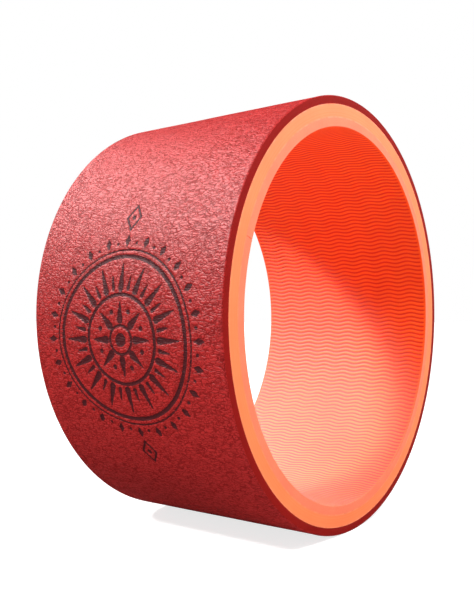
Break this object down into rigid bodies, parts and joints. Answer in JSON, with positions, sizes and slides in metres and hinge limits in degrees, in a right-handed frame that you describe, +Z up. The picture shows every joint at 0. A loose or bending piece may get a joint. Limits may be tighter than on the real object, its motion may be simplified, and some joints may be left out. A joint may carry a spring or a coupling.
{
  "type": "yoga wheel",
  "caption": "Wide hollow exercise wheel with a foam tread, a rigid core ring and a ribbed foam lining, rolled under the back to stretch it and used as a balance prop.",
  "frame": {"origin": "the wheel's centre, on its axis midway between its ends", "axes": "+Y along the wheel's axis, +Z up as it stands on its tread"},
  "size_m": [0.3276, 0.17, 0.3276],
  "materials": {
    "tread_foam": "soft satin with a leather grain",
    "core_plastic": "satin",
    "lining_foam": "matt, ribbed",
    "adhesive": "satin"
  },
  "bodies": {
    "root": {"core_ring": "core_plastic", "outer_bond": "adhesive", "outer_pad": "tread_foam", "pad_seam_glue": "adhesive", "inner_bond": "adhesive", "inner_liner": "lining_foam", "liner_seam_glue": "adhesive"}
  },
  "joints": []
}
